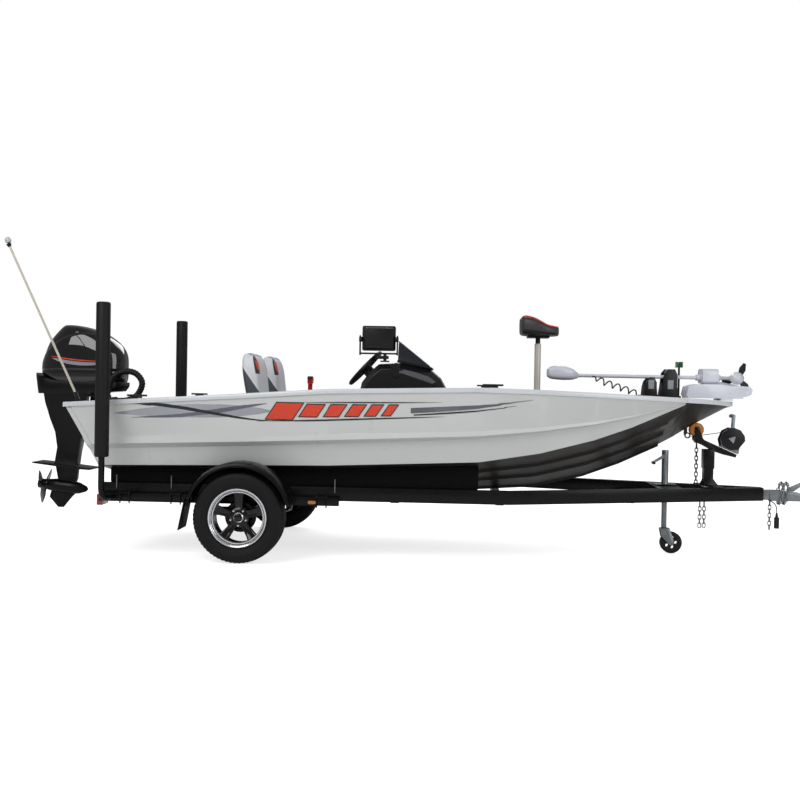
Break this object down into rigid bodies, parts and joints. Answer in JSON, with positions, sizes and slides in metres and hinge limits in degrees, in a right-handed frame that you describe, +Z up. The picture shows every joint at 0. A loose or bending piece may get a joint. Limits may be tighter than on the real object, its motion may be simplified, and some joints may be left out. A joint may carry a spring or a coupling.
{
  "type": "aluminium bass boat on a trailer",
  "caption": "Aluminium bass boat with outboard, bow motor, console and seats, standing on a single-axle trailer with jack, winch and guide posts.",
  "frame": {"origin": "on the ground under the middle of the whole outline", "axes": "+X to the bow, +Y to port, +Z up"},
  "size_m": [6.11, 2.2598, 2.3275],
  "materials": {
    "frame_black": "semi-gloss black",
    "roller": "satin amber",
    "vinyl_dark": "satin vinyl",
    "vinyl_white": "satin vinyl",
    "carpet": "cut-pile marine carpet",
    "zinc": "bright zinc plate",
    "engine_black": "satin black",
    "cowl_gloss": "high gloss black",
    "console_black": "semi-gloss moulding",
    "rubber_black": "matte",
    "pad_black": "matte foam skin",
    "gunwale_white": "gloss",
    "hull_white": "gloss",
    "hull_dark": "gloss, metal flake",
    "lamp_red": "lens",
    "white_plastic": "satin white",
    "post_metal": "satin",
    "steel": "polished",
    "rim_black": "gloss black",
    "tyre": "matte",
    "smoked_glass": "smoked acrylic"
  },
  "bodies": {
    "boat_on_trailer": {"axle": "frame_black", "bow_roller": "roller", "bunks": "carpet", "chains": "zinc", "clamp_bracket": "engine_black", "cleats": "zinc", "cockpit_floor": "carpet", "console": "console_black", "coupler": "zinc", "curly_cord": "rubber_black", "display": "console_black", "fenders": "frame_black", "front_deck": "carpet", "guide_pads": "pad_black", "guide_posts": "zinc", "gunwales": "gunwale_white", "hull_bottom": "hull_dark", "jack_tube": "zinc", "lamps": "lamp_red", "nav_lights": "white_plastic", "pedestal": "post_metal", "plug": "rubber_black", "plug_lead": "rubber_black", "rear_deck": "carpet", "rigging_hose": "rubber_black", "seat_boxes": "console_black", "seat_cushions": "vinyl_white", "side_plate_port": "hull_white", "side_plate_starboard": "hull_white", "throttle_box": "console_black", "tm_mount": "white_plastic", "tm_rests": "console_black", "trailer_frame": "frame_black", "transom": "hull_white", "winch": "zinc", "winch_post": "frame_black", "windshield": "smoked_glass"},
    "wheel_port": {"rim_port": "rim_black", "tyre_port": "tyre"},
    "wheel_starboard": {"rim_starboard": "rim_black", "tyre_starboard": "tyre"},
    "jack_leg": {"jack_leg": "zinc"},
    "jockey_fork": {"jockey_fork": "zinc"},
    "jockey_wheel": {"jockey_wheel": "rubber_black"},
    "winch_crank": {"winch_crank": "zinc"},
    "swivel_bracket": {"swivel_bracket": "engine_black"},
    "outboard": {"outboard_leg": "engine_black", "top_cowl": "cowl_gloss"},
    "propeller": {"propeller": "steel"},
    "steering_wheel": {"steering_wheel": "console_black"},
    "seat_back_port": {"seat_back_port": "vinyl_white"},
    "seat_back_starboard": {"seat_back_starboard": "vinyl_white"},
    "bow_seat": {"bow_seat": "vinyl_dark"},
    "bow_motor": {"tm_housing": "white_plastic", "tm_motor": "white_plastic"},
    "bow_motor_prop": {"tm_prop": "console_black"},
    "lid_rear_port": {"lid_rear_port": "carpet"},
    "lid_rear_starboard": {"lid_rear_starboard": "carpet"},
    "lid_front_port": {"lid_front_port": "carpet"},
    "lid_front_starboard": {"lid_front_starboard": "carpet"}
  },
  "joints": [
    {"name": "wheel_port_spin", "type": "hinge", "parent": "boat_on_trailer", "child": "wheel_port", "pos_m": [-1.207, 0.957, 0.3235], "axis": [0, 1, 0], "continuous": true},
    {"name": "wheel_starboard_spin", "type": "hinge", "parent": "boat_on_trailer", "child": "wheel_starboard", "pos_m": [-1.207, -0.957, 0.3235], "axis": [0, 1, 0], "continuous": true},
    {"name": "jack_slide", "type": "slide", "parent": "boat_on_trailer", "child": "jack_leg", "axis": [0, 0, 1], "range_m": [0, 0.19]},
    {"name": "jockey_swivel", "type": "hinge", "parent": "jack_leg", "child": "jockey_fork", "pos_m": [1.959, 0, 0.19], "axis": [0, 0, 1], "continuous": true},
    {"name": "jockey_spin", "type": "hinge", "parent": "jockey_fork", "child": "jockey_wheel", "pos_m": [2.014, 0, 0.084], "axis": [0, 1, 0], "continuous": true},
    {"name": "winch_crank_turn", "type": "hinge", "parent": "boat_on_trailer", "child": "winch_crank", "pos_m": [2.49, -0.08, 0.868], "axis": [0, 1, 0], "continuous": true},
    {"name": "outboard_tilt", "type": "hinge", "parent": "boat_on_trailer", "child": "swivel_bracket", "pos_m": [-2.48, 0, 1.095], "axis": [0, 1, 0], "range_deg": [-4, 60]},
    {"name": "outboard_steer", "type": "hinge", "parent": "swivel_bracket", "child": "outboard", "pos_m": [-2.6, 0, 1], "axis": [0.1045, 0, 0.9945], "range_deg": [-30, 30]},
    {"name": "propeller_spin", "type": "hinge", "parent": "outboard", "child": "propeller", "pos_m": [-2.962, 0, 0.43], "axis": [0.9945, 0, -0.1045], "continuous": true},
    {"name": "steering_wheel_turn", "type": "hinge", "parent": "boat_on_trailer", "child": "steering_wheel", "pos_m": [-0.372, -0.45, 1.403], "axis": [0.7314, 0, -0.682], "range_deg": [-540, 540]},
    {"name": "seat_back_port_fold", "type": "hinge", "parent": "boat_on_trailer", "child": "seat_back_port", "pos_m": [-1.16, 0.42, 1.07], "axis": [0, 1, 0], "range_deg": [0, 82]},
    {"name": "seat_back_starboard_fold", "type": "hinge", "parent": "boat_on_trailer", "child": "seat_back_starboard", "pos_m": [-1.16, -0.42, 1.07], "axis": [0, 1, 0], "range_deg": [0, 82]},
    {"name": "bow_seat_swivel", "type": "hinge", "parent": "boat_on_trailer", "child": "bow_seat", "pos_m": [0.949, 0, 1.668], "axis": [0, 0, 1], "continuous": true},
    {"name": "bow_motor_stow", "type": "hinge", "parent": "boat_on_trailer", "child": "bow_motor", "pos_m": [2.54, -0.11, 1.29], "axis": [-0.1668, 0.986, 0], "range_deg": [0, 90], "deforming": ["curly_cord"]},
    {"name": "bow_motor_prop_spin", "type": "hinge", "parent": "bow_motor", "child": "bow_motor_prop", "pos_m": [2.47098, -0.12167, 1.376], "axis": [-0.309, -0.9511, 0], "continuous": true},
    {"name": "lid_rear_port_hinge", "type": "hinge", "parent": "boat_on_trailer", "child": "lid_rear_port", "pos_m": [-1.74, 0.695, 1.085], "axis": [-1, 0, 0], "range_deg": [0, 95]},
    {"name": "lid_rear_starboard_hinge", "type": "hinge", "parent": "boat_on_trailer", "child": "lid_rear_starboard", "pos_m": [-1.74, -0.695, 1.085], "axis": [1, 0, 0], "range_deg": [0, 95]},
    {"name": "lid_front_port_hinge", "type": "hinge", "parent": "boat_on_trailer", "child": "lid_front_port", "pos_m": [0.85, 0.695, 1.19], "axis": [-1, 0, 0], "range_deg": [0, 95]},
    {"name": "lid_front_starboard_hinge", "type": "hinge", "parent": "boat_on_trailer", "child": "lid_front_starboard", "pos_m": [0.85, -0.695, 1.19], "axis": [1, 0, 0], "range_deg": [0, 95]}
  ],
  "couplings": [
    {"joint": "steering_wheel_turn", "follows": "outboard_steer", "ratio": 18}
  ]
}
